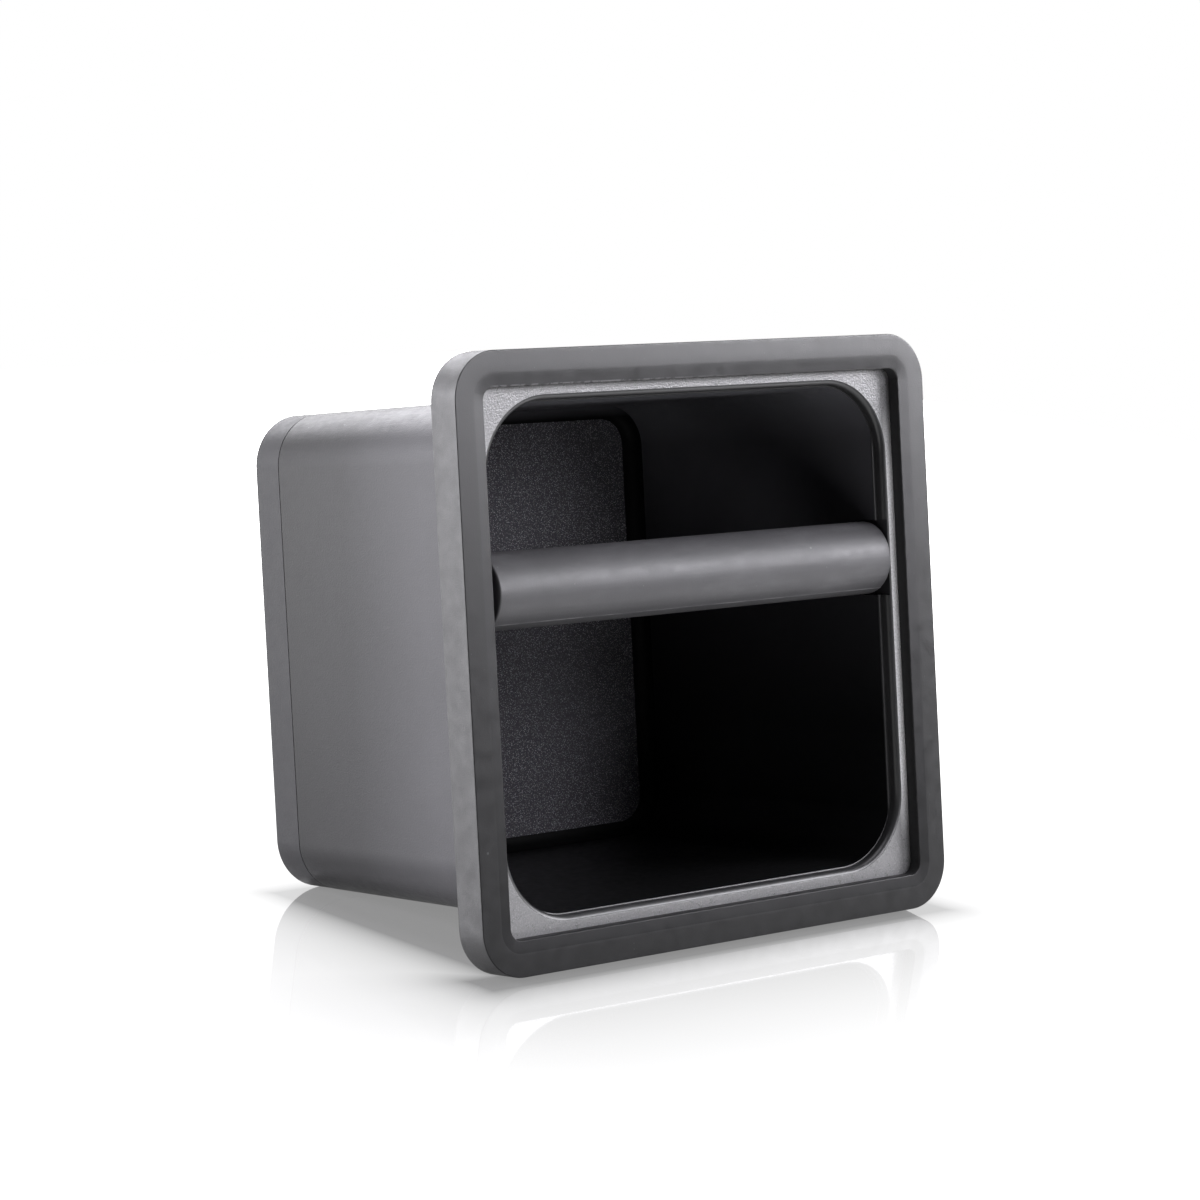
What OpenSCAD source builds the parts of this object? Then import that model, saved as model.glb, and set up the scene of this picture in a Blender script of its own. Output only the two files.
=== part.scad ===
// Counter-top knock box: moulded tub, rubber rim collar, rubber base boot,
// and a padded knock bar that drops into two pockets under the rim.
// Frame: origin at the centre of the underside, +Z up and out of the mouth,
// +X along the knock bar. Millimetres.

/* [Outside] */
// collar length along the bar
collar_x = 177; // [174:0.5:181]
// collar width across the bar
collar_y = 173; // [170:0.5:177]
// overall height, underside to the top of the collar
total_h = 120; // [117:0.5:125]
// collar depth, top to underside
collar_t = 12; // [11.5:0.5:13]
// collar outer corner radius
collar_r = 14; // [11:0.5:17]

/* [Tub] */
// body length at the base
base_x = 147.8; // [147:0.1:148.4]
// body width at the base
base_y = 142.4; // [141.6:0.1:143]
// outer corner radius of the body at the base
body_r = 15.5; // [14:0.5:17]
// outward draft of the walls, degrees a side
draft = 1; // [0.9:0.02:1.04]
// wall thickness
wall = 2.2; // [2.1:0.05:2.3]
// floor thickness
floor_t = 1.6; // [1.4:0.1:2.4]
// fillet between the floor and the walls
floor_fillet = 4.2; // [3:0.1:5]
// flange thickness
flange_t = 3.4; // [3:0.1:3.8]
// how far the flange sits below the top of the collar
flange_drop = 4.7; // [4.5:0.1:5]
// radius of the rolled lip round the mouth
lip_r = 1.8; // [1.4:0.1:3.2]
// depth of the small ledge below the top of the collar
ledge_drop = 8; // [8:0.1:8.6]
// mouth length at the foot of the lip
mouth_x = 149.2; // [148.8:0.1:149.6]
// mouth width at the foot of the lip
mouth_y = 144.2; // [143.8:0.1:144.8]
// corner radius of the mouth
mouth_r = 21; // [19:0.5:22]

/* [Collar opening] */
// opening length
open_x = 156.7; // [156:0.1:158]
// opening width
open_y = 152.4; // [151.8:0.1:153.5]
// inner corner radius
open_r = 3.6; // [2.5:0.1:5]
// width of the sloped band round the opening
slope_w = 4; // [2:0.25:5]
// fall of that band towards the opening
slope_fall = 0.4; // [0.2:0.05:0.8]

/* [Base boot] */
// height of the boot
boot_h = 12.8; // [11:0.1:15]
// side thickness of the boot
boot_t = 1.8; // [1.5:0.1:1.9]
// underside thickness of the boot
boot_floor = 1; // [0.8:0.1:2]

/* [Knock bar] */
// outside radius of the rubber sleeve
sleeve_r = 11.05; // [10.5:0.05:11.2]
// half length of the sleeve
sleeve_half = 74.4; // [74.1:0.05:74.4]
// radius of the steel core
core_r = 6; // [5:0.25:7.5]
// how far the core stops short of each sleeve end
core_inset = 0.6; // [0.4:0.1:3]
// offset of the bar from the middle of the mouth
bar_y = -19.6; // [-24:0.2:24]
// depth of the bar axis below the top of the collar
bar_drop = 13.6; // [13:0.1:15]
// gap between the sleeve and its pocket
pocket_gap = 0.35; // [0.32:0.01:0.5]

/* [Hidden] */
$fn = 96;
e = 0.05;                         // standing gap between pieces of one body
t = tan(draft);
cx = base_x / 2 - body_r;         // corner centres of the body
cy = base_y / 2 - body_r;
flange_top = total_h - flange_drop;
flange_bot = flange_top - flange_t;
ledge_z = total_h - ledge_drop;
collar_bot = total_h - collar_t;
bar_z = total_h - bar_drop;
flange_hx = collar_x / 2 - 3.9;   // flange half sizes, hidden in the collar
flange_hy = collar_y / 2 - 3.9;
flange_r = 10;
floor_z = boot_floor + e + floor_t;
pocket_r = sleeve_r + pocket_gap;
pocket_low = sleeve_half + 0.35;  // pocket half length under the flange
pocket_high = sleeve_half + 1.1;  // and through the flange

// solid with a rounded-rectangle plan: pts is a half profile [out, z] measured
// from the corner centres (px, py)
module plan(px, py, pts) {
  union() {
    rotate([90, 0, 0])
      translate([0, 0, -py])
        linear_extrude(2 * py)
          polygon(concat([for (p = pts) [px + p[0], p[1]]],
                         [for (i = [len(pts) - 1:-1:0]) [-px - pts[i][0], pts[i][1]]]));
    rotate([90, 0, 90])
      translate([0, 0, -px])
        linear_extrude(2 * px)
          polygon(concat([for (p = pts) [py + p[0], p[1]]],
                         [for (i = [len(pts) - 1:-1:0]) [-py - pts[i][0], pts[i][1]]]));
    for (sx = [-1, 1], sy = [-1, 1])
      translate([sx * px, sy * py, 0])
        rotate_extrude($fn = 96)
          polygon(concat([[0, pts[0][1]]], pts, [[0, pts[len(pts) - 1][1]]]));
  }
}

function body_s(z) = body_r + z * t;              // outer surface
function inner_s(z) = body_r - wall + z * t;      // inner surface

module pocket_cut() {
  // U pocket for the bar ends, open upwards
  intersection() {
    union() {
      translate([-90, bar_y, bar_z]) rotate([0, 90, 0]) cylinder(r = pocket_r, h = 180);
      translate([-90, bar_y - pocket_r, bar_z]) cube([180, 2 * pocket_r, 40]);
    }
    union() {
      translate([-pocket_low, -60, 80]) cube([2 * pocket_low, 80, 60]);
      translate([-pocket_high, -60, collar_bot + 0.6]) cube([2 * pocket_high, 80, 60]);
    }
  }
}

module tub() {
  color([0.16, 0.16, 0.17])
  difference() {
    union() {
      plan(cx, cy, [
        [body_s(0) - boot_t - 1.2, boot_floor + e],
        [body_s(0) - boot_t - e, boot_floor + e + 1.2],
        [body_s(0) - boot_t - e, boot_h + e],
        [body_s(boot_h) - 0.25, boot_h + e],
        [body_s(boot_h + 0.25), boot_h + 0.25 + e],
        [body_s(flange_bot + 0.5), flange_bot + 0.5]]);
      plan(flange_hx - flange_r, flange_hy - flange_r, [
        [flange_r - 0.4, flange_bot],
        [flange_r, flange_bot + 0.4],
        [flange_r, flange_top - 0.4],
        [flange_r - 0.4, flange_top]]);
    }
    // main hollow, filleted at the floor
    plan(cx, cy, concat(
      [for (a = [0:22.5:90]) [inner_s(floor_z + floor_fillet) - floor_fillet * (1 - sin(a)),
                              floor_z + floor_fillet * (1 - cos(a))]],
      [[inner_s(ledge_z + 0.3), ledge_z + 0.3]]));
    // mouth above the ledge, with the rolled lip
    plan(mouth_x / 2 - mouth_r, mouth_y / 2 - mouth_r, concat(
      [[mouth_r, ledge_z]],
      [for (a = [90:-15:0]) [mouth_r + lip_r * (1 - sin(a)), flange_top - lip_r * (1 - cos(a))]],
      [[mouth_r + lip_r, flange_top + 3]]));
    pocket_cut();
  }
}

module rim_collar() {
  color([0.3, 0.3, 0.31])
  difference() {
    plan(collar_x / 2 - collar_r, collar_y / 2 - collar_r, [
      [collar_r - 1.5, collar_bot],
      [collar_r - 0.45, collar_bot + 0.45],
      [collar_r, collar_bot + 1.5],
      [collar_r, total_h - 0.9],
      [collar_r - 0.3, total_h - 0.3],
      [collar_r - 0.9, total_h]]);
    // opening, with the band that falls towards it
    plan(open_x / 2 - open_r, open_y / 2 - open_r, [
      [open_r, flange_top - 1],
      [open_r, total_h - slope_fall - 0.3],
      [open_r + 0.3, total_h - slope_fall],
      [open_r + slope_w, total_h],
      [open_r + slope_w, total_h + 1]]);
    // groove that grips the flange
    plan(flange_hx - flange_r, flange_hy - flange_r, [
      [flange_r + e, flange_bot - e],
      [flange_r + e, flange_top + e]]);
    // throat round the body
    plan(cx, cy, [
      [body_s(collar_bot - 1) + e, collar_bot - 1],
      [body_s(flange_bot) + e, flange_bot]]);
  }
}

module base_boot() {
  color([0.26, 0.26, 0.27])
  difference() {
    plan(cx, cy, [
      [body_s(0) - 1.5, 0],
      [body_s(0) - 0.45, 0.45],
      [body_s(1.5), 1.5],
      [body_s(boot_h - 0.25), boot_h - 0.25],
      [body_s(boot_h) - 0.25, boot_h]]);
    plan(cx, cy, [
      [body_s(0) - boot_t - 1.2, boot_floor],
      [body_s(0) - boot_t, boot_floor + 1.2],
      [body_s(0) - boot_t, boot_h + 1]]);
  }
}

module bar_core() {
  color([0.6, 0.6, 0.62])
  translate([0, bar_y, bar_z])
    rotate([0, 90, 0])
      rotate_extrude()
        polygon([[0, -sleeve_half + core_inset], [core_r - 0.6, -sleeve_half + core_inset],
                 [core_r, -sleeve_half + core_inset + 0.6], [core_r, sleeve_half - core_inset - 0.6],
                 [core_r - 0.6, sleeve_half - core_inset], [0, sleeve_half - core_inset]]);
}

module bar_sleeve() {
  color([0.24, 0.24, 0.25])
  translate([0, bar_y, bar_z])
    rotate([0, 90, 0])
      difference() {
        rotate_extrude()
          polygon([[0, -sleeve_half], [sleeve_r - 0.5, -sleeve_half],
                   [sleeve_r, -sleeve_half + 0.5], [sleeve_r, sleeve_half - 0.5],
                   [sleeve_r - 0.5, sleeve_half], [0, sleeve_half]]);
        translate([0, 0, -sleeve_half - 1]) cylinder(r = core_r + e, h = 2 * sleeve_half + 2);
      }
}

tub();
rim_collar();
base_boot();
bar_core();
bar_sleeve();
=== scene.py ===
import bpy
import bmesh
import math
from mathutils import Vector, Matrix, noise


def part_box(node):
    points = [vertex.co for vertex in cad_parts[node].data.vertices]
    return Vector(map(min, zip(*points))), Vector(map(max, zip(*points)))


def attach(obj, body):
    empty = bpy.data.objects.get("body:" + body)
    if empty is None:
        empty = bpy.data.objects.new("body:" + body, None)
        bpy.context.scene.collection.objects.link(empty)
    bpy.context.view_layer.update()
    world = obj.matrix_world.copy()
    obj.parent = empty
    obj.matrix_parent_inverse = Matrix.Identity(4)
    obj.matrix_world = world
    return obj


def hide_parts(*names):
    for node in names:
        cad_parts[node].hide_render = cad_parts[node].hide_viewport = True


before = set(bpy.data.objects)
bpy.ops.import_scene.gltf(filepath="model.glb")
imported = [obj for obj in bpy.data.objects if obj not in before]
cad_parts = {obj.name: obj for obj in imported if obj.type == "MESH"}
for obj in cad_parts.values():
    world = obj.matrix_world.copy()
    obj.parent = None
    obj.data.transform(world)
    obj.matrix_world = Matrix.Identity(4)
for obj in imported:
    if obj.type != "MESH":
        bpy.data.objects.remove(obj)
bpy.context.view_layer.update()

MM = 0.001
scene = bpy.context.scene

# ---------------------------------------------------------------- sizes, from the CAD frame
c_lo, c_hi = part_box("rim_collar")
t_lo, t_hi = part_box("tub")
b_lo, b_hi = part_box("base_boot")
s_lo, s_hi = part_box("bar_sleeve")
k_lo, k_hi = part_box("bar_core")

CX, CY = c_hi.x / MM, c_hi.y / MM              # collar half sizes
TOP = c_hi.z / MM                              # overall height
CBOT = c_lo.z / MM                             # underside of the collar
FX, FY = t_hi.x / MM, t_hi.y / MM              # flange half sizes
FTOP = t_hi.z / MM                             # flange top
BOOT_H = b_hi.z / MM
SLOPE = math.tan(math.radians(1.0))
BX, BY = b_hi.x / MM - BOOT_H * SLOPE, b_hi.y / MM - BOOT_H * SLOPE   # body half sizes at z = 0
BR = 15.5                                      # body corner radius at z = 0
WALL = 2.2
BOOT_FLOOR = 1.0
FLOOR = 2.65                                   # inner floor
LEDGE = 112.0
MX, MY, MR, LIP = 74.6, 72.1, 21.0, 1.8        # foot of the lip, its corner radius and its own radius
OX, OY, OR = 78.35, 76.2, 3.6                  # collar opening
BAR_R = (s_hi.z - s_lo.z) / 2 / MM
BAR_HALF = s_hi.x / MM
BAR_Y = (s_hi.y + s_lo.y) / 2 / MM
BAR_Z = (s_hi.z + s_lo.z) / 2 / MM
CORE_R = (k_hi.z - k_lo.z) / 2 / MM
POCKET_R = BAR_R + 0.35
POCKET_LOW = BAR_HALF + 0.35
POCKET_HIGH = BAR_HALF + 1.1

# ---------------------------------------------------------------- camera, at the picture's viewing angle
right = Vector((-0.7711556, 0.051092, 0.6345933)).normalized()
up = Vector((-0.0745033, -0.9971681, -0.0102528))
up = (up - right * up.dot(right)).normalized()
back = right.cross(up)
cam_data = bpy.data.cameras.new("camera")
cam = bpy.data.objects.new("camera", cam_data)
scene.collection.objects.link(cam)
cam.matrix_world = Matrix.Translation(Vector((0.694928, -0.072494, 0.918846))) @ Matrix(
    (
        (right.x, up.x, back.x, 0),
        (right.y, up.y, back.y, 0),
        (right.z, up.z, back.z, 0),
        (0, 0, 0, 1),
    )
)
cam_data.sensor_width = 36
cam_data.lens = 110.8005
cam_data.clip_start = 0.05
cam_data.clip_end = 60
scene.camera = cam


# ---------------------------------------------------------------- mesh helpers
def ring(hx, hy, r, z, nc=20, ns=2):
    """Points round a rounded rectangle, in mm, always in the same order."""
    pts = []
    r = max(r, 0.02)
    for q in range(4):
        sx = 1 if q in (0, 3) else -1
        sy = 1 if q in (0, 1) else -1
        cx, cy = sx * (hx - r), sy * (hy - r)
        for i in range(nc + 1):
            a = math.radians(q * 90 + 90 * i / nc)
            pts.append(Vector((cx + r * math.cos(a), cy + r * math.sin(a), z)))
        qn = (q + 1) % 4
        nx = (1 if qn in (0, 3) else -1) * (hx - r)
        ny = (1 if qn in (0, 1) else -1) * (hy - r)
        an = math.radians(qn * 90)
        nxt = Vector((nx + r * math.cos(an), ny + r * math.sin(an), z))
        last = pts[-1].copy()
        for i in range(1, ns):
            pts.append(last.lerp(nxt, i / ns))
    return pts


def arc(n, a0, a1):
    return [math.radians(a0 + (a1 - a0) * i / n) for i in range(n + 1)]


def loft(name, rings, mats, zone, cap0=None, cap1=None, closed=False):
    """Skin through rings of points (mm). zone[i] is the material of the band above ring i."""
    bm = bmesh.new()
    rows = [[bm.verts.new(p * MM) for p in rg] for rg in rings]
    n = len(rows[0])
    m = len(rows)
    for i in range(m if closed else m - 1):
        a, b = rows[i], rows[(i + 1) % m]
        for j in range(n):
            f = bm.faces.new((a[j], a[(j + 1) % n], b[(j + 1) % n], b[j]))
            f.material_index = zone[i]
            f.smooth = True
    if cap0 is not None:
        f = bm.faces.new(rows[0])
        f.material_index = cap0
        f.smooth = True
    if cap1 is not None:
        f = bm.faces.new(rows[-1])
        f.material_index = cap1
        f.smooth = True
    bmesh.ops.recalc_face_normals(bm, faces=bm.faces)
    me = bpy.data.meshes.new(name)
    bm.to_mesh(me)
    bm.free()
    for mt in mats:
        me.materials.append(mt)
    ob = bpy.data.objects.new(name, me)
    scene.collection.objects.link(ob)
    return ob


def finish_normals(ob, angle=38):
    ob.data.set_sharp_from_angle(angle=math.radians(angle))
    w = ob.modifiers.new("weighted", "WEIGHTED_NORMAL")
    w.mode = "FACE_AREA"
    w.weight = 80
    w.keep_sharp = True


def bake_modifiers(ob):
    dg = bpy.context.evaluated_depsgraph_get()
    me = bpy.data.meshes.new_from_object(ob.evaluated_get(dg))
    old = ob.data
    ob.modifiers.clear()
    ob.data = me
    me.name = ob.name
    bpy.data.meshes.remove(old)


# ---------------------------------------------------------------- material helpers
class Nodes:
    def __init__(self, name):
        self.m = bpy.data.materials.new(name)
        self.m.use_nodes = True
        self.t = self.m.node_tree
        self.t.nodes.clear()
        self.out = self.t.nodes.new("ShaderNodeOutputMaterial")
        self.b = self.t.nodes.new("ShaderNodeBsdfPrincipled")
        self.t.links.new(self.b.outputs[0], self.out.inputs[0])
        self.tc = self.t.nodes.new("ShaderNodeTexCoord")
        self.co = self.tc.outputs["Object"]

    def link(self, a, b):
        self.t.links.new(a, b)

    def mapping(self, scale=(1, 1, 1), loc=(0, 0, 0), rot=(0, 0, 0)):
        n = self.t.nodes.new("ShaderNodeMapping")
        n.inputs["Scale"].default_value = scale
        n.inputs["Location"].default_value = loc
        n.inputs["Rotation"].default_value = rot
        self.link(self.co, n.inputs["Vector"])
        return n.outputs[0]

    def noise(self, scale, detail=3.0, rough=0.5, vec=None, dist=0.0):
        n = self.t.nodes.new("ShaderNodeTexNoise")
        n.inputs["Scale"].default_value = scale
        n.inputs["Detail"].default_value = detail
        n.inputs["Roughness"].default_value = rough
        n.inputs["Distortion"].default_value = dist
        self.link(vec if vec is not None else self.co, n.inputs["Vector"])
        return n.outputs["Fac"]

    def voronoi(self, scale, feature="F1", vec=None, rand=1.0):
        n = self.t.nodes.new("ShaderNodeTexVoronoi")
        n.feature = feature
        n.inputs["Scale"].default_value = scale
        n.inputs["Randomness"].default_value = rand
        self.link(vec if vec is not None else self.co, n.inputs["Vector"])
        return n

    def ramp(self, fac, stops, interp="LINEAR"):
        n = self.t.nodes.new("ShaderNodeValToRGB")
        n.color_ramp.interpolation = interp
        els = n.color_ramp.elements
        while len(els) < len(stops):
            els.new(0.5)
        for e, (p, c) in zip(els, stops):
            e.position = p
            e.color = (*c, 1) if isinstance(c, tuple) else (c, c, c, 1)
        self.link(fac, n.inputs[0])
        return n.outputs[0]

    def rng(self, fac, a, b, lo=0.0, hi=1.0):
        n = self.t.nodes.new("ShaderNodeMapRange")
        n.inputs["From Min"].default_value = lo
        n.inputs["From Max"].default_value = hi
        n.inputs["To Min"].default_value = a
        n.inputs["To Max"].default_value = b
        self.link(fac, n.inputs[0])
        return n.outputs[0]

    def math(self, op, a, b=None, clamp=False):
        n = self.t.nodes.new("ShaderNodeMath")
        n.operation = op
        n.use_clamp = clamp
        for i, v in enumerate((a, b)):
            if v is None:
                continue
            if isinstance(v, (int, float)):
                n.inputs[i].default_value = v
            else:
                self.link(v, n.inputs[i])
        return n.outputs[0]

    def mix(self, fac, a, b, blend="MIX"):
        n = self.t.nodes.new("ShaderNodeMix")
        n.data_type = "RGBA"
        n.blend_type = blend
        if isinstance(fac, (int, float)):
            n.inputs[0].default_value = fac
        else:
            self.link(fac, n.inputs[0])
        for i, v in ((6, a), (7, b)):
            if isinstance(v, tuple):
                n.inputs[i].default_value = (*v, 1)
            else:
                self.link(v, n.inputs[i])
        return n.outputs[2]

    def bump(self, height, strength=0.3, distance=0.0003, normal=None):
        n = self.t.nodes.new("ShaderNodeBump")
        n.inputs["Strength"].default_value = strength
        n.inputs["Distance"].default_value = distance
        self.link(height, n.inputs["Height"])
        if normal is not None:
            self.link(normal, n.inputs["Normal"])
        return n.outputs[0]

    def xyz(self):
        n = self.t.nodes.new("ShaderNodeSeparateXYZ")
        self.link(self.co, n.inputs[0])
        return n.outputs

    def set(self, **kw):
        for k, v in kw.items():
            key = k.replace("_", " ")
            if isinstance(v, (int, float)):
                self.b.inputs[key].default_value = v
            elif isinstance(v, tuple):
                self.b.inputs[key].default_value = (*v, 1)
            else:
                self.link(v, self.b.inputs[key])


def specks(nd, scale, size, seed=(0, 0, 0)):
    """Sparse dust specks: 1 on a speck, 0 elsewhere."""
    v = nd.voronoi(scale, vec=nd.mapping(loc=seed))
    near = nd.math("LESS_THAN", v.outputs["Distance"], size)
    sep = nd.t.nodes.new("ShaderNodeSeparateColor")
    nd.link(v.outputs["Color"], sep.inputs[0])
    some = nd.math("GREATER_THAN", sep.outputs[0], 0.93)
    return nd.math("MULTIPLY", near, some)


def rubber(name, base, rough=0.62, coarse=0.12, grain=2600, bump=0.22, dust=0.5, spec=0.4, streak=None):
    nd = Nodes(name)
    big = nd.noise(28, 4, 0.55)
    mid = nd.noise(240, 4, 0.6)
    fine = nd.noise(grain, 2, 0.6)
    dark = tuple(c * (1 - coarse) for c in base)
    light = tuple(c * (1 + coarse) for c in base)
    col = nd.ramp(big, [(0.3, dark), (0.7, light)])
    col = nd.mix(nd.rng(mid, 0.0, 0.35, 0.45, 0.75), col, tuple(c * 1.28 for c in base))
    if dust:
        d1 = specks(nd, 210, 0.085, (0.3, 0.1, 0.7))
        d2 = specks(nd, 480, 0.10, (1.3, 0.5, 0.2))
        d = nd.math("MAXIMUM", d1, nd.math("MULTIPLY", d2, 0.6))
        col = nd.mix(nd.math("MULTIPLY", d, dust), col, tuple(min(1, c * 3.2 + 0.05) for c in base))
    nd.set(Base_Color=col)
    ro = nd.math("ADD", nd.rng(mid, rough - 0.06, rough + 0.07, 0.3, 0.7), nd.rng(fine, -0.04, 0.04, 0.3, 0.7))
    nd.set(Roughness=ro)
    nd.b.inputs["Specular IOR Level"].default_value = spec
    h = nd.math("ADD", nd.math("MULTIPLY", fine, 0.6), nd.math("MULTIPLY", mid, 0.8))
    if streak:
        s = nd.noise(1.0, 3, 0.5, vec=nd.mapping(scale=streak))
        h = nd.math("ADD", h, nd.math("MULTIPLY", s, 0.8))
    nd.set(Normal=nd.bump(h, bump, 0.0003))
    return nd


def plastic(name, base, rough=0.38, grain=None, bump=0.1, spec=0.5, var=0.08, scale=24, sparkle=0.0, painted_base_shade=False):
    nd = Nodes(name)
    big = nd.noise(scale, 4, 0.5)
    mid = nd.noise(320, 3, 0.6)
    col = nd.ramp(big, [(0.3, tuple(c * (1 - var) for c in base)), (0.7, tuple(c * (1 + var) for c in base))])
    h = nd.math("MULTIPLY", mid, 0.25)
    if grain:
        g = nd.noise(grain, 2.5, 0.65)
        g2 = nd.voronoi(grain * 0.8).outputs["Distance"]
        h = nd.math("ADD", nd.math("MULTIPLY", g, 1.0), nd.math("MULTIPLY", g2, 0.7))
        if sparkle:
            col = nd.mix(nd.rng(g, 0.0, sparkle, 0.5, 0.72), col, tuple(min(1, c * 2.6) for c in base))
    scr = nd.noise(1.0, 2, 0.5, vec=nd.mapping(scale=(1800, 1800, 60)))
    ro = nd.math("ADD", nd.rng(mid, rough - 0.04, rough + 0.05, 0.3, 0.7), nd.rng(scr, -0.02, 0.03, 0.35, 0.65))
    # painted shade: the colour is darkened towards the base (low Z), standing in for light falling off along the body
    # side
    if painted_base_shade:
        col = nd.mix(1.0, col, nd.ramp(nd.rng(nd.xyz()[2], 0.0, 1.0, 0.012, 0.108), [(0.0, 0.22), (0.35, 0.36), (0.75, 0.9), (1.0, 1.0)]), "MULTIPLY")
    d = specks(nd, 260, 0.07, (0.7, 0.2, 0.4))
    col = nd.mix(nd.math("MULTIPLY", d, 0.35), col, tuple(c * 3 + 0.03 for c in base))
    nd.set(Base_Color=col, Roughness=ro)
    nd.b.inputs["Specular IOR Level"].default_value = spec
    nd.set(Normal=nd.bump(h, bump, 0.0004))
    return nd


# ---------------------------------------------------------------- materials
m_body = plastic("tub_outside", (0.054, 0.0533, 0.0577), rough=0.37, grain=2300, bump=0.10, spec=0.22, painted_base_shade=True).m
nd = Nodes("tub_inside")
yz = nd.xyz()
# painted light and shade: the colour is lighter towards -Y, standing in for floor bounce light into the mouth, and
# near-black towards +Y; the inside is a shaded copy of the same plastic as the outside
painted_bounce_light = nd.ramp(nd.rng(yz[1], 0.0, 1.0, -0.070, 0.030), [(0.0, (0.120, 0.119, 0.132)), (0.22, (0.078, 0.077, 0.086)), (0.5, (0.028, 0.0275, 0.031)), (1.0, (0.005, 0.005, 0.0055))])
var = nd.noise(30, 3, 0.5)
fine = nd.noise(420, 3, 0.6)
nd.set(Base_Color=nd.mix(nd.rng(var, 0.0, 0.25, 0.4, 0.7), painted_bounce_light, (0.009, 0.009, 0.010)), Roughness=nd.rng(fine, 0.32, 0.42, 0.3, 0.7))
nd.b.inputs["Specular IOR Level"].default_value = 0.22
nd.set(Normal=nd.bump(fine, 0.04, 0.0003))
m_inner = nd.m
nd = Nodes("tub_lip")
var = nd.noise(40, 3, 0.5)
fine = nd.noise(900, 2, 0.6)
nd.set(Base_Color=nd.ramp(var, [(0.3, (0.026, 0.026, 0.027)), (0.7, (0.036, 0.036, 0.0375))]), Roughness=nd.rng(fine, 0.30, 0.37, 0.3, 0.7))
nd.b.inputs["Specular IOR Level"].default_value = 0.6
nd.set(Normal=nd.bump(fine, 0.05, 0.0001))
m_lip = nd.m
# painted light: the flange is a lit copy of the tub plastic, with a much lighter base colour than the outside
fl = plastic("tub_flange", (0.18, 0.179, 0.183), rough=0.30, grain=1900, bump=0.22, spec=1.0, sparkle=0.35, var=0.05)
fxyz = fl.xyz()
# painted highlight: the flat flange band on the -X side is made almost white
painted_highlight_strip = fl.math("MULTIPLY", fl.rng(fxyz[0], 1.0, 0.0, -0.0758, -0.0748), fl.rng(fl.math("ABSOLUTE", fxyz[1]), 1.0, 0.0, 0.045, 0.066), clamp=True)
fgrain = fl.rng(fl.noise(1500, 3, 0.7), 0.7, 1.0, 0.35, 0.6)
fl.set(Base_Color=fl.mix(fl.math("MULTIPLY", painted_highlight_strip, fgrain), fl.b.inputs["Base Color"].links[0].from_socket, (0.93, 0.925, 0.935)))
m_flange = fl.m
nd = Nodes("tub_floor")
g1 = nd.voronoi(2100).outputs["Distance"]
g2 = nd.noise(2300, 2, 0.6)
big = nd.noise(22, 3, 0.5)
sp = nd.math("MULTIPLY", nd.rng(g1, 1.0, 0.0, 0.10, 0.42), nd.rng(g2, 0.0, 1.0, 0.36, 0.60), clamp=True)
col = nd.mix(sp, (0.056, 0.0545, 0.065), (0.85, 0.84, 0.90))
col = nd.mix(nd.rng(big, 0.0, 0.25, 0.4, 0.65), col, (0.10, 0.098, 0.111))
nd.set(Base_Color=col, Roughness=nd.rng(g2, 0.42, 0.62, 0.3, 0.7))
nd.b.inputs["Specular IOR Level"].default_value = 0.5
nd.set(Normal=nd.bump(nd.math("ADD", nd.math("MULTIPLY", g1, -1.0), g2), 0.7, 0.0003))
m_floor = nd.m
# painted shade: the concave fillet round the floor panel is a near-black shaded copy of the tub plastic; painted light
# makes it lighter towards -Y
nd = Nodes("tub_fillet")
fine = nd.noise(420, 3, 0.6)
nd.set(Base_Color=nd.mix(nd.rng(nd.xyz()[1], 1.0, 0.0, -0.0690, -0.0655), nd.ramp(fine, [(0.3, (0.0035, 0.0035, 0.0038)), (0.7, (0.005, 0.005, 0.0055))]), (0.085, 0.084, 0.094)), Roughness=nd.rng(fine, 0.45, 0.55, 0.3, 0.7))
nd.b.inputs["Specular IOR Level"].default_value = 0.08
m_fillet = nd.m

m_collar = rubber("collar_rubber_mat", (0.0075, 0.0074, 0.0082), rough=0.37, bump=0.12, dust=0.45, spec=0.54).m
# painted light: the band is a lit copy of the collar rubber, with a lighter base colour than the collar
m_band = rubber("collar_band_mat", (0.018, 0.0178, 0.0192), rough=0.37, bump=0.10, dust=0.35, spec=0.52).m
bnd = m_band.node_tree
bt = Nodes.__new__(Nodes)
bt.m, bt.t = m_band, bnd
bt.b = [q for q in bnd.nodes if q.type == "BSDF_PRINCIPLED"][0]
bt.co = [q for q in bnd.nodes if q.type == "TEX_COORD"][0].outputs["Object"]
bxyz = bt.xyz()
# painted highlight: a thin light line along the inner front edge on the -Y side
edge = bt.rng(bxyz[1], 0.0, 1.0, -0.0769, -0.0766)
edge = bt.math("MULTIPLY", edge, bt.rng(bt.noise(420, 3, 0.6), 0.0, 1.0, 0.44, 0.52), clamp=True)
edge = bt.math("MULTIPLY", edge, bt.rng(bxyz[1], 1.0, 0.0, -0.05, -0.04), clamp=True)
edge = bt.math("MULTIPLY", edge, bt.rng(bxyz[0], 0.0, 1.0, -0.02, 0.03), clamp=True)
edge = bt.math("MULTIPLY", edge, bt.rng(bxyz[0], 1.0, 0.0, 0.0740, 0.0760), clamp=True)
old = bt.b.inputs["Base Color"].links[0].from_socket
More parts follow.
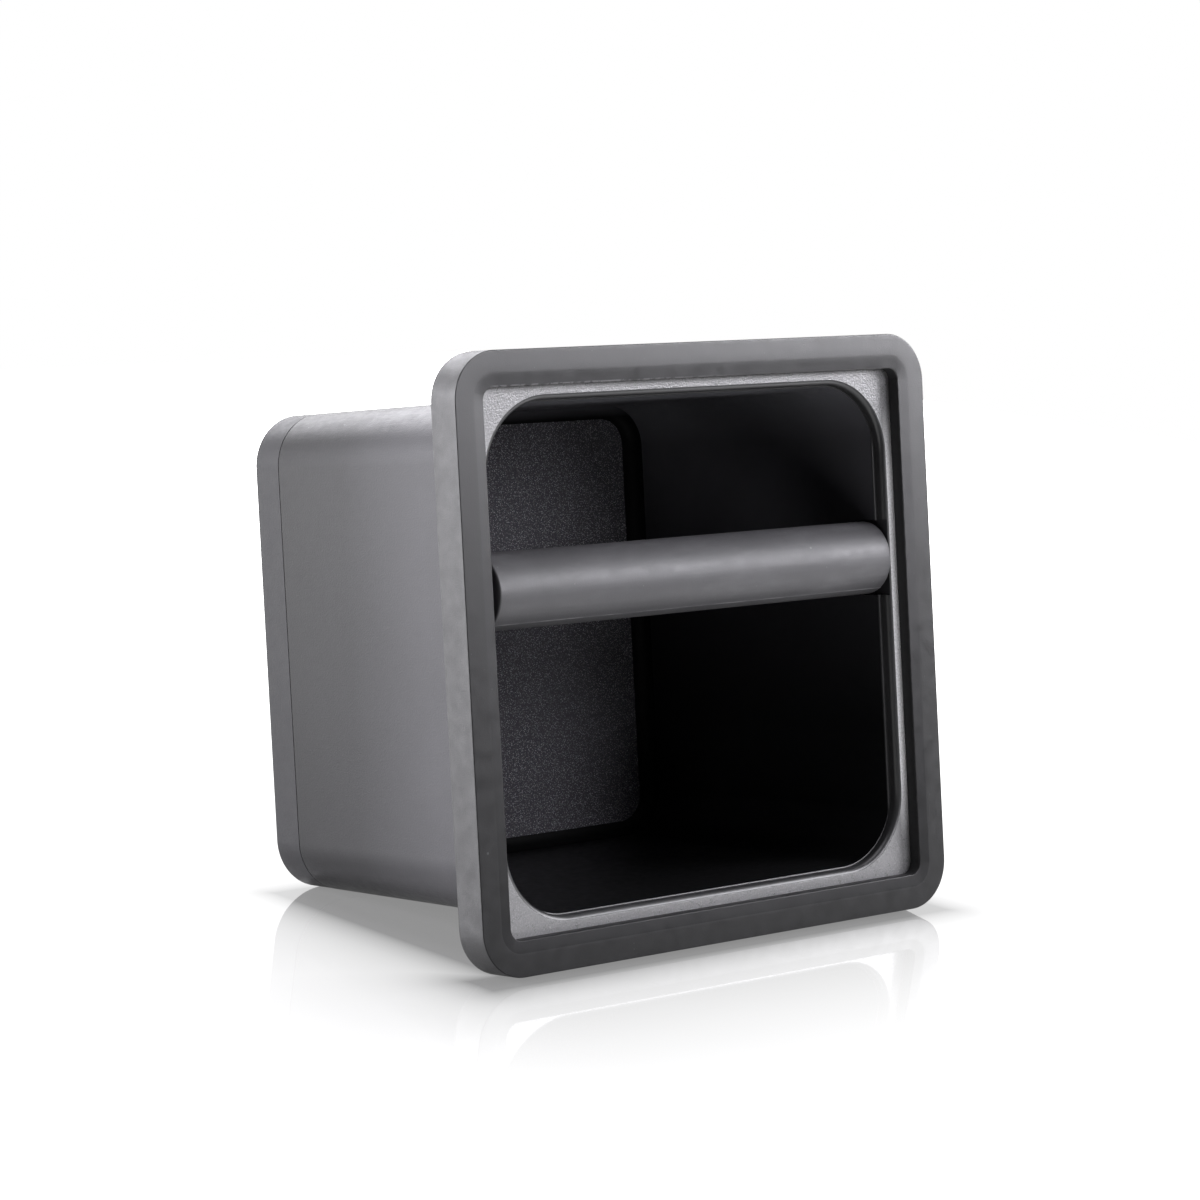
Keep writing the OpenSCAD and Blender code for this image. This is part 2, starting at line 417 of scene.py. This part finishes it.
# painted shade: the band darkens to the collar colour towards +Y
old = bt.mix(bt.rng(bxyz[1], 0.0, 1.0, 0.0, 0.07), old, (0.0075, 0.0074, 0.0082))
bt.set(Base_Color=bt.mix(edge, old, (0.11, 0.109, 0.113)))
m_side = rubber("collar_side_mat", (0.0085, 0.0084, 0.0092), rough=0.55, bump=0.2, dust=0.45, spec=0.68).m
for mat, hi_s, lo_s in ((m_collar, 0.66, 0.33), (m_band, 0.60, 0.20)):   # painted sheen: the specular level falls off towards +Y and +X, standing in for light falling off across the collar
    gt = Nodes.__new__(Nodes)
    gt.m, gt.t = mat, mat.node_tree
    gt.b = [q for q in gt.t.nodes if q.type == "BSDF_PRINCIPLED"][0]
    gt.co = [q for q in gt.t.nodes if q.type == "TEX_COORD"][0].outputs["Object"]
    gxyz = gt.xyz()
    gt.link(gt.math("MULTIPLY", gt.rng(gxyz[1], hi_s, lo_s, -0.07, 0.08), gt.rng(gxyz[0], 1.28, 0.94, -0.085, 0.07)), gt.b.inputs["Specular IOR Level"])
m_wall = rubber("collar_wall_mat", (0.016, 0.016, 0.017), rough=0.7, bump=0.2, dust=0.3).m
m_boot = rubber("boot_rubber_mat", (0.019, 0.0188, 0.0206), rough=0.46, grain=1900, bump=0.26, dust=0.5, spec=0.23).m
m_sleeve = rubber("sleeve_rubber_mat", (0.068, 0.0672, 0.0714), rough=0.49, bump=0.20, dust=0.45, spec=0.6, streak=(26, 620, 620)).m

st = Nodes.__new__(Nodes)                                            # scuffs of the sleeve, and a painted highlight: a thin light line along the moulding seam ridge
st.m, st.t = m_sleeve, m_sleeve.node_tree
st.b = [q for q in st.t.nodes if q.type == "BSDF_PRINCIPLED"][0]
st.co = [q for q in st.t.nodes if q.type == "TEX_COORD"][0].outputs["Object"]
sxyz = st.xyz()
sy = st.math("ADD", sxyz[1], -BAR_Y * MM)
sz = st.math("ADD", sxyz[2], -BAR_Z * MM)
sa, ca = math.sin(math.radians(55.7)), math.cos(math.radians(55.7))
off = st.math("ABSOLUTE", st.math("SUBTRACT", st.math("MULTIPLY", sy, ca), st.math("MULTIPLY", sz, sa)))
seam_highlight = st.math("MULTIPLY", st.rng(off, 1.0, 0.0, 0.00012, 0.00026), st.math("GREATER_THAN", sz, 0.0), clamp=True)
seam_highlight = st.math("MULTIPLY", seam_highlight, st.rng(st.noise(150, 3, 0.6), 0.25, 1.0, 0.4, 0.6), clamp=True)
scuff = st.rng(st.noise(1.0, 4, 0.6, vec=st.mapping(scale=(45, 150, 150))), 0.0, 0.5, 0.52, 0.72)
old = st.b.inputs["Base Color"].links[0].from_socket
st.set(Base_Color=st.mix(seam_highlight, st.mix(scuff, old, (0.115, 0.114, 0.119)), (0.20, 0.198, 0.205)))

nd = Nodes("core_steel_mat")
ln = nd.noise(1.0, 3, 0.5, vec=nd.mapping(scale=(900, 60, 60)))
nd.set(Base_Color=nd.ramp(ln, [(0.3, (0.17, 0.17, 0.175)), (0.7, (0.27, 0.27, 0.275))]), Roughness=nd.rng(ln, 0.42, 0.55))
nd.b.inputs["Metallic"].default_value = 1.0
nd.set(Normal=nd.bump(ln, 0.1, 0.0001))
m_core = nd.m

# ---------------------------------------------------------------- tub
NC, NS = 22, 3


def outer(z, d=0.0):
    s = z * SLOPE - d
    return (BX + s, BY + s, BR + s, z)


def inner(z, d=0.0):
    s = z * SLOPE - WALL - d
    return (BX + s, BY + s, BR + s, z)


rows, zones = [], []


def add(r, z, lst=rows, zn=zones):
    lst.append(r)
    zn.append(z)


BODY, INNER, LIPM, FLANGE, FLOORM, FILLET = 0, 1, 2, 3, 4, 5
F = 4.2
ix, iy, ir, _ = inner(FLOOR + F)
add((ix - F - 0.5, iy - F + 0.35, ir - F - 0.5, FLOOR), FILLET)          # edge of the textured panel
for a in arc(7, 0, 90):
    add((ix - F * (1 - math.sin(a)), iy - F * (1 - math.sin(a)), ir - F * (1 - math.sin(a)),
         FLOOR + F * (1 - math.cos(a))), FILLET if a < 1.5 else INNER)
for z in (30, 70, 100):
    add(inner(z), INNER)
ix2, iy2, ir2, _ = inner(LEDGE)
add((ix2, MY - 0.35, ir2, LEDGE - 0.5), LIPM)
for a in arc(3, 0, 90)[1:]:                                           # soft edge of the ledge
    d = 0.35 * (1 - math.cos(a))
    add((ix2 + d, MY - 0.35 + 0.25 * (1 - math.cos(a)), ir2 + d, LEDGE - 0.35 + 0.35 * math.sin(a)), LIPM)
add((MX - 0.25, MY - 0.25, MR - 0.25, LEDGE), LIPM)
add((MX - 0.05, MY - 0.05, MR - 0.05, LEDGE + 0.05), LIPM)
for a in arc(12, 90, 0):
    d = LIP * (1 - math.sin(a))
    add((MX + d, MY + d, MR + d, FTOP - LIP * (1 - math.cos(a))), LIPM if a > 0.2 else FLANGE)
add((FX - 0.4, FY - 0.4, 9.6, FTOP), BODY)
add((FX, FY, 10, FTOP - 0.4), BODY)
add((FX, FY, 10, FTOP - 3.0), BODY)
add((FX - 0.4, FY - 0.4, 9.6, FTOP - 3.4), BODY)
add(outer(FTOP - 3.4, -0.3), BODY)
add(outer(FTOP - 3.8), BODY)
for z in (100, 70, 40, 18):
    add(outer(z), BODY)
zs = BOOT_H + 0.05
for a in arc(4, 0, 90):                                               # shoulder above the boot
    add(outer(zs + 0.6 - 0.6 * math.sin(a), 0.5 * (1 - math.cos(a))), BODY)
add(outer(zs, 1.85), BODY)
add(outer(zs - 0.4, 1.85), BODY)
add(outer(2.4, 1.85), BODY)
add(outer(BOOT_FLOOR + 0.05, 3.0), BODY)
tub = loft("tub_shell", [ring(*r, nc=NC, ns=NS) for r in rows], [m_body, m_inner, m_lip, m_flange, m_floor, m_fillet],
           zones, cap0=FLOORM, cap1=BODY)


def pocket_cutter(half, z0):
    """U-shaped cutter along the bar, open at the top."""
    bm = bmesh.new()
    prof = []
    for i in range(33):
        a = math.pi + math.pi * i / 32
        prof.append((BAR_Y + POCKET_R * math.cos(a), BAR_Z + POCKET_R * math.sin(a)))
    prof = [(y, max(z, z0)) for y, z in prof if True]
    prof += [(BAR_Y + POCKET_R, 130), (BAR_Y - POCKET_R, 130)]
    a = [bm.verts.new(Vector((-half, y, z)) * MM) for y, z in prof]
    b = [bm.verts.new(Vector((half, y, z)) * MM) for y, z in prof]
    n = len(prof)
    for i in range(n):
        bm.faces.new((a[i], a[(i + 1) % n], b[(i + 1) % n], b[i]))
    bm.faces.new(a)
    bm.faces.new(list(reversed(b)))
    bmesh.ops.remove_doubles(bm, verts=bm.verts, dist=1e-7)
    bmesh.ops.recalc_face_normals(bm, faces=bm.faces)
    me = bpy.data.meshes.new("cut")
    bm.to_mesh(me)
    bm.free()
    me.materials.append(m_inner)
    ob = bpy.data.objects.new("cut", me)
    scene.collection.objects.link(ob)
    return ob


for half, z0 in ((POCKET_LOW, 0.0), (POCKET_HIGH, CBOT + 0.6)):
    c = pocket_cutter(half, z0)
    md = tub.modifiers.new("pocket", "BOOLEAN")
    md.operation = "DIFFERENCE"
    md.solver = "EXACT"
    md.material_mode = "TRANSFER"
    md.object = c
    bpy.context.view_layer.update()
    bake_modifiers(tub)
    me = c.data
    bpy.data.objects.remove(c)
    bpy.data.meshes.remove(me)
finish_normals(tub, 34)
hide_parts("tub")
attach(tub, "box")

# ---------------------------------------------------------------- rim collar
rows, zones = [], []
OUTC, BANDC, WALLC, SIDEC = 0, 1, 2, 3
CR = 14.0
E = 0.05


def addc(r, z):
    rows.append(r)
    zones.append(z)


for a in arc(6, 0, 90):                                              # rear outer edge
    d = 1.6 * (1 - math.cos(a))
    addc((CX - d, CY - d, CR - d, CBOT + 1.6 - 1.6 * math.sin(a)), SIDEC)
addc((*[v + 0.6 + E for v in outer(CBOT)[:3]], CBOT), WALLC)
addc((*[v + 0.15 + E for v in outer(CBOT)[:3]], CBOT + 0.15), WALLC)
addc((*[v + E for v in outer(CBOT + 0.6)[:3]], CBOT + 0.6), WALLC)
addc((*[v + E for v in outer(FTOP - 3.45)[:3]], FTOP - 3.45), WALLC)
addc((FX + E, FY + E, 10 + E, FTOP - 3.45), WALLC)
addc((FX + E, FY + E, 10 + E, FTOP + E), WALLC)
wall_first = len(rows)
addc((OX + 0.25, OY + 0.25, OR + 0.25, FTOP + E), WALLC)
addc((OX, OY, OR, FTOP + 0.4), WALLC)
addc((OX, OY, OR, TOP - 1.6), WALLC)
addc((OX, OY, OR, TOP - 0.85), WALLC)
edge_first = len(rows)
for a in arc(4, 0, 90)[1:]:                                          # inner front edge
    d = 0.4 * (1 - math.cos(a))
    addc((OX + d, OY + d, OR + d, TOP - 0.85 + 0.4 * math.sin(a)), BANDC)
edge_last = len(rows)
addc((OX + 2.6, OY + 2.6, OR + 2.6, TOP - 0.17), BANDC)
addc((OX + 3.6, OY + 3.6, OR + 3.4, TOP - 0.06), OUTC)
addc((OX + 4.4, OY + 4.4, OR + 4.0, TOP - 0.01), OUTC)
addc((OX + 6.4, OY + 6.4, OR + 6.5, TOP), OUTC)
addc((CX - 1.2, CY - 1.2, CR - 1.2, TOP - 0.005), OUTC)
for a in arc(5, 90, 0):                                              # front outer edge
    d = 0.3 * (1 - math.cos(a))
    addc((CX - d, CY - d, CR - d, TOP - 0.02 - 0.3 + 0.3 * math.sin(a)), OUTC if a > 0.01 else SIDEC)
CNS = 110
pts = [ring(*r, nc=20, ns=CNS) for r in rows]
for i in range(edge_first - 2, edge_last):                           # slightly ragged moulded edge
    for p in pts[i]:
        k = noise.noise(Vector((p.x * 0.55, p.y * 0.55, 3.1))) * 0.14 + noise.noise(Vector((p.x * 2.1, p.y * 2.1, 9.7))) * 0.07
        out = Vector((p.x / CX, p.y / CY, 0))
        ax = Vector((math.copysign(1, p.x), 0, 0)) if abs(out.x) > abs(out.y) else Vector((0, math.copysign(1, p.y), 0))
        p += ax * k * 0.8
        p.z += k * 0.35
collar = loft("rim_collar_skin", pts, [m_collar, m_band, m_wall, m_side], zones, closed=True)
finish_normals(collar, 50)
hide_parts("rim_collar")
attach(collar, "box")

# ---------------------------------------------------------------- base boot
rows, zones = [], []


def addb(r, z=0):
    rows.append(r)
    zones.append(z)


for a in arc(7, 90, 0):                                              # under edge
    d = 1.5 * (1 - math.cos(a))
    addb(outer(1.5 - 1.5 * math.sin(a), d))
for z in (5, 9):
    addb(outer(z, 0.02 if z < 6 else 0.06))
for a in arc(4, 0, 90):                                              # upper edge
    addb(outer(BOOT_H - 0.15 + 0.15 * math.sin(a), 0.08 + 0.15 * (1 - math.cos(a))))
addb(outer(BOOT_H, 1.8))
addb(outer(2.2, 1.8))
addb(outer(BOOT_FLOOR, 3.0))
boot = loft("base_boot_skin", [ring(*r, nc=NC, ns=NS) for r in rows], [m_boot], zones, cap0=0, cap1=0)
finish_normals(boot, 45)
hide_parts("base_boot")
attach(boot, "box")

# ---------------------------------------------------------------- knock bar sleeve
SEAM = math.radians(55.7)


def sleeve_radius(x, a):
    r = BAR_R - 0.10
    for c, hgt in ((SEAM, 0.10), (SEAM + math.pi, 0.08)):
        d = (a - c + math.pi) % (2 * math.pi) - math.pi
        r += hgt * math.exp(-((d * BAR_R) / 0.28) ** 2)
    r += 0.02 * noise.noise(Vector((x * 0.12, math.cos(a) * 1.5, math.sin(a) * 1.5)))
    return r


bm = bmesh.new()
NA, NX = 240, 96
prof = []                                                            # (x, inset from the skin or None, bore radius)
xs = [-BAR_HALF + 0.55 * (1 - math.cos(a)) for a in arc(4, 0, 90)]
ins = [0.55 * (1 - math.sin(a)) for a in arc(4, 0, 90)]
stations = list(zip(xs, ins))
stations += [(-BAR_HALF + 0.55 + (2 * BAR_HALF - 1.1) * i / NX, 0.0) for i in range(1, NX)]
stations += [(-x, d) for x, d in reversed(list(zip(xs, ins)))]
rows = []
bore = CORE_R + 0.05


def circle(x, f):
    return [bm.verts.new(Vector((x, BAR_Y + f(a) * math.sin(a), BAR_Z + f(a) * math.cos(a))) * MM)
            for a in (2 * math.pi * j / NA for j in range(NA))]


rows.append(circle(-BAR_HALF + 0.3, lambda a: bore))
rows.append(circle(-BAR_HALF, lambda a: bore + 0.3))
for x, d in stations:
    rows.append(circle(x, lambda a, x=x, d=d: sleeve_radius(x, a) - d))
rows.append(circle(BAR_HALF, lambda a: bore + 0.3))
rows.append(circle(BAR_HALF - 0.3, lambda a: bore))
for i in range(len(rows)):
    a_, b_ = rows[i], rows[(i + 1) % len(rows)]
    for j in range(NA):
        f = bm.faces.new((a_[j], a_[(j + 1) % NA], b_[(j + 1) % NA], b_[j]))
        f.smooth = True
bmesh.ops.recalc_face_normals(bm, faces=bm.faces)
me = bpy.data.meshes.new("bar_sleeve_skin")
bm.to_mesh(me)
bm.free()
me.materials.append(m_sleeve)
sleeve = bpy.data.objects.new("bar_sleeve_skin", me)
scene.collection.objects.link(sleeve)
finish_normals(sleeve, 45)
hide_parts("bar_sleeve")
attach(sleeve, "knock_bar")

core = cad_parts["bar_core"]
core.data.materials.clear()
core.data.materials.append(m_core)

# ---------------------------------------------------------------- stage: the floor the box lies on in the picture
n = Vector((0, -0.990, 0.1400)).normalized()                          # from the floor towards the box
along = Vector((0, 0.1400, 0.990)).normalized()
touch = Vector((0, BY + 0.03, 1.5)) * MM
bm = bmesh.new()
side = Vector((1, 0, 0))
base = touch - n * 0.00012
grid = [base + side * x + along * y for x, y in ((-1.1, -1.3), (1.1, -1.3), (1.1, 0.36), (-1.1, 0.36))]
f = bm.faces.new([bm.verts.new(p) for p in grid])
f.normal_update()
if f.normal.dot(n) < 0:
    f.normal_flip()
me = bpy.data.meshes.new("stage_floor")
bm.to_mesh(me)
bm.free()
floor = bpy.data.objects.new("stage_floor", me)
scene.collection.objects.link(floor)
fm = bpy.data.materials.new("stage_floor_mat")
fm.use_nodes = True
t = fm.node_tree
t.nodes.clear()
o = t.nodes.new("ShaderNodeOutputMaterial")
pb = t.nodes.new("ShaderNodeBsdfPrincipled")
pb.inputs["Base Color"].default_value = (0.06, 0.06, 0.06, 1)
pb.inputs["Emission Color"].default_value = (1, 1, 1, 1)
pb.inputs["Roughness"].default_value = 0.035
ftc = t.nodes.new("ShaderNodeTexCoord")


def fdot(vec, off):
    q = t.nodes.new("ShaderNodeVectorMath")
    q.operation = "DOT_PRODUCT"
    q.inputs[1].default_value = vec
    t.links.new(ftc.outputs["Object"], q.inputs[0])
    return fmath("SUBTRACT", q.outputs["Value"], off)


def fmath(op, a, b=None, c=None):
    q = t.nodes.new("ShaderNodeMath")
    q.operation = op
    for i, v in enumerate((a, b, c)):
        if v is None:
            continue
        if isinstance(v, (int, float)):
            q.inputs[i].default_value = v
        else:
            t.links.new(v, q.inputs[i])
    return q.outputs[0]


fs = fdot(tuple(along), float(touch.dot(along)))
fx = fmath("ABSOLUTE", fdot((1, 0, 0), 0.0))


def frect(half, s0, s1):
    dx = fmath("MAXIMUM", fmath("SUBTRACT", fx, half), 0.0)
    ds = fmath("MAXIMUM", fmath("MAXIMUM", fmath("SUBTRACT", fs, s1), fmath("SUBTRACT", s0, fs)), 0.0)
    return fmath("SQRT", fmath("ADD", fmath("MULTIPLY", dx, dx), fmath("MULTIPLY", ds, ds)))


# painted contact shadow: the floor glows, with its emission dimmer near the box's footprint and rising with distance
# from it
fd = fmath("MINIMUM", frect(0.076, 0.0, 0.110), frect(0.087, 0.110, 0.121))
glow_painted_shadow = t.nodes.new("ShaderNodeFloatCurve")
cv = glow_painted_shadow.mapping.curves[0]
for i, (px, py) in enumerate(((0.0, 0.25), (0.10, 0.56), (0.20, 0.70), (0.35, 0.77), (0.46, 0.81), (0.57, 0.85), (0.67, 0.88), (0.78, 0.915), (1.0, 0.97))):
    if i == 0:
        cv.points[0].location = (px, py)
    elif i == 1:
        cv.points[1].location = (px, py)
    else:
        cv.points.new(px, py)
glow_painted_shadow.mapping.update()
t.links.new(fmath("MULTIPLY", fd, 10.0), glow_painted_shadow.inputs["Value"])
t.links.new(glow_painted_shadow.outputs[0], pb.inputs["Emission Strength"])
pb.inputs["Specular IOR Level"].default_value = 0.5
tr = t.nodes.new("ShaderNodeBsdfTransparent")
mx = t.nodes.new("ShaderNodeMixShader")
geo = t.nodes.new("ShaderNodeNewGeometry")
t.links.new(geo.outputs["Backfacing"], mx.inputs[0])
t.links.new(pb.outputs[0], mx.inputs[1])
t.links.new(tr.outputs[0], mx.inputs[2])
t.links.new(mx.outputs[0], o.inputs[0])
me.materials.append(fm)

# ---------------------------------------------------------------- light
# picture directions: u right, v up, w towards the viewer; row frame = (-u, -v, w)


def area(name, uvw, target, size, power, size_y=None, color=(1, 1, 1)):
    ld = bpy.data.lights.new(name, "AREA")
    ld.shape = "RECTANGLE"
    ld.size = size
    ld.size_y = size_y or size
    ld.energy = power
    ld.color = color
    ob = bpy.data.objects.new(name, ld)
    scene.collection.objects.link(ob)
    p = Vector((-uvw[0], -uvw[1], uvw[2]))
    q = Vector((-target[0], -target[1], target[2]))
    ob.location = p
    ob.rotation_euler = (p - q).to_track_quat("Z", "Y").to_euler()
    return ob


TINT = (0.985, 0.975, 1.03)
area("key_front_right", (0.35, 0.26, 1.15), (0, 0, 0.06), 0.5, 4.8, 0.4, TINT)
area("key_right_mid", (0.90, 0.36, 0.85), (0, 0, 0.06), 0.45, 8.5, 0.5, TINT)
area("key_right", (1.0, 0.5, 0.7), (0, 0, 0.06), 0.5, 4.4, 0.8, TINT)
area("side_left", (-0.75, 0.25, -0.25), (0, 0, 0.06), 0.35, 13.0, 0.6, TINT)
area("over_back", (0.1, 0.95, -0.75), (0, 0, 0.06), 1.0, 16.8, 0.7, TINT)
area("over", (0, 1.15, 0.1), (0, 0, 0.06), 1.0, 9.0, None, TINT)

world = bpy.data.worlds.new("studio")
scene.world = world
world.use_nodes = True
wt = world.node_tree
wt.nodes.clear()
wo = wt.nodes.new("ShaderNodeOutputWorld")
bg1 = wt.nodes.new("ShaderNodeBackground")
bg2 = wt.nodes.new("ShaderNodeBackground")
lp = wt.nodes.new("ShaderNodeLightPath")
wm = wt.nodes.new("ShaderNodeMixShader")
tc = wt.nodes.new("ShaderNodeTexCoord")                               # a lit sweep behind the box and to its right


def lobe(axis, gain, base):
    dt = wt.nodes.new("ShaderNodeVectorMath")
    dt.operation = "DOT_PRODUCT"
    dt.inputs[1].default_value = axis
    ps = wt.nodes.new("ShaderNodeMath")
    ps.operation = "MAXIMUM"
    ps.inputs[1].default_value = 0.0
    sq = wt.nodes.new("ShaderNodeMath")
    sq.operation = "MULTIPLY"
    am = wt.nodes.new("ShaderNodeMath")
    am.operation = "MULTIPLY_ADD"
    am.inputs[1].default_value = gain
    wt.links.new(tc.outputs["Generated"], dt.inputs[0])
    wt.links.new(dt.outputs["Value"], ps.inputs[0])
    wt.links.new(ps.outputs[0], sq.inputs[0])
    wt.links.new(ps.outputs[0], sq.inputs[1])
    wt.links.new(sq.outputs[0], am.inputs[0])
    if isinstance(base, float):
        am.inputs[2].default_value = base
    else:
        wt.links.new(base, am.inputs[2])
    return am.outputs[0]


wt.links.new(lobe((-1, 0, 0), 0.9, lobe((0, 0, -1), 2.05, 0.02)), bg1.inputs[1])
bg1.inputs[0].default_value = (1, 1, 1, 1)
bg2.inputs[0].default_value = (1, 1, 1, 1)
bg2.inputs[1].default_value = 1.0
wt.links.new(lp.outputs["Is Camera Ray"], wm.inputs[0])
wt.links.new(bg1.outputs[0], wm.inputs[1])
wt.links.new(bg2.outputs[0], wm.inputs[2])
wt.links.new(wm.outputs[0], wo.inputs[0])

scene.view_settings.view_transform = "Standard"
scene.view_settings.look = "None"
scene.view_settings.exposure = 0
scene.view_settings.gamma = 1

bpy.context.view_layer.update()
